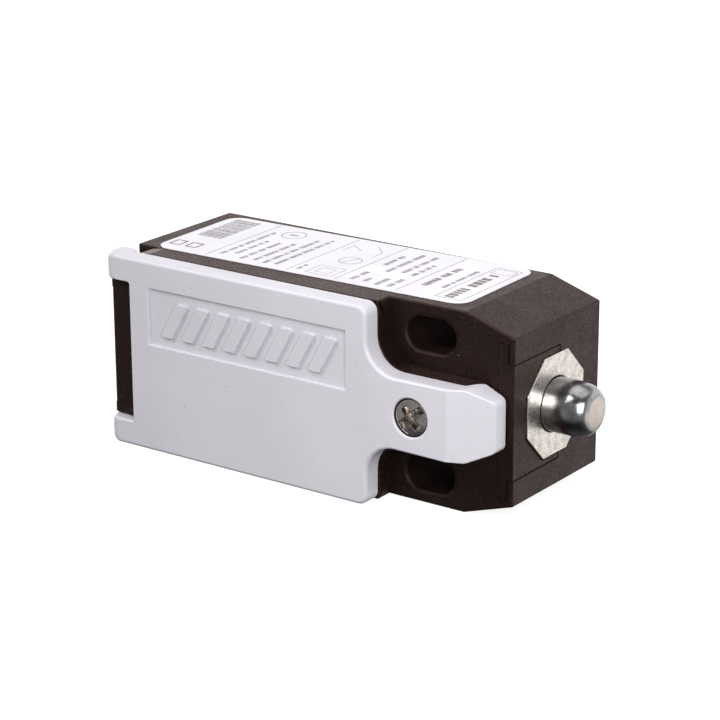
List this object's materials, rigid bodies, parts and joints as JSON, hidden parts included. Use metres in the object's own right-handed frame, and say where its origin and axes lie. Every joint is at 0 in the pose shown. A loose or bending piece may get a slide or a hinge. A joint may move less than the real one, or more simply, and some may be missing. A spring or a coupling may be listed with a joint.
{
  "type": "limit switch",
  "caption": "Compact plastic position switch with a domed metal plunger, hinged front cover, slotted fixing holes and a rear cable entry.",
  "frame": {"origin": "on the mounting face, midway between the centres of the two fixing slots", "axes": "+X along the plunger, out of the head; +Y out of the mounting face, so the cover looks along -Y; +Z across the width, up as the switch lies on its side"},
  "size_m": [0.0765, 0.0291, 0.0302],
  "materials": {
    "housing_plastic": "matte, fine texture",
    "cover_plastic": "fine satin",
    "seal_rubber": "matte",
    "screw_nickel": "nickel plated",
    "contact_brass": "satin",
    "zinc_casting": "zinc plated, mottled",
    "plunger_steel": "ground and polished",
    "spring_steel": "bright drawn",
    "label_film": "semi-gloss film",
    "block_plastic": "satin",
    "shield_plastic": "satin",
    "slider_plastic": "satin",
    "carrier_plastic": "satin"
  },
  "bodies": {
    "case": {"housing": "housing_plastic", "head_plate": "housing_plastic", "guide_bush": "zinc_casting", "plunger_seal": "seal_rubber", "cover_gasket": "seal_rubber", "screw_insert": "contact_brass", "rating_label": "label_film", "return_spring": "spring_steel", "contact_base": "block_plastic", "contact_shield": "shield_plastic", "slider_spring": "spring_steel", "terminal_nc_a": "contact_brass", "terminal_nc_b": "contact_brass", "terminal_no_a": "contact_brass", "terminal_no_b": "contact_brass", "clamp_nc_a": "screw_nickel", "clamp_nc_b": "screw_nickel", "clamp_no_a": "screw_nickel", "clamp_no_b": "screw_nickel", "terminal_screw_nc_a": "screw_nickel", "terminal_screw_nc_b": "screw_nickel", "terminal_screw_no_a": "screw_nickel", "terminal_screw_no_b": "screw_nickel", "block_screw_a": "screw_nickel", "block_screw_b": "screw_nickel"},
    "cover": {"front_cover": "cover_plastic", "cover_screw": "screw_nickel"},
    "plunger": {"plunger": "plunger_steel", "plunger_clip": "spring_steel"},
    "slider": {"drive_slider": "slider_plastic"},
    "carrier": {"contact_carrier": "carrier_plastic", "bridge_nc": "contact_brass", "bridge_no": "contact_brass", "bridge_spring_nc": "spring_steel", "bridge_spring_no": "spring_steel", "snap_spring": "spring_steel"}
  },
  "joints": [
    {"name": "plunger_slide", "type": "slide", "parent": "case", "child": "plunger", "axis": [-1, 0, 0], "range_m": [0, 0.005], "stiffness_N_per_m": 400, "deforming": ["return_spring"]},
    {"name": "slider_slide", "type": "slide", "parent": "case", "child": "slider", "axis": [-1, 0, 0], "range_m": [0, 0.005], "deforming": ["slider_spring"]},
    {"name": "carrier_slide", "type": "slide", "parent": "case", "child": "carrier", "axis": [-1, 0, 0], "range_m": [0, 0.002], "deforming": ["snap_spring"]},
    {"name": "cover_hinge", "type": "hinge", "parent": "case", "child": "cover", "pos_m": [-0.0534, -0.0256, 0], "axis": [0, 0, -1], "range_deg": [0, 95]}
  ],
  "couplings": [
    {"joint": "slider_slide", "follows": "plunger_slide", "ratio": 1},
    {"joint": "carrier_slide", "follows": "plunger_slide", "ratio": 0.4}
  ]
}
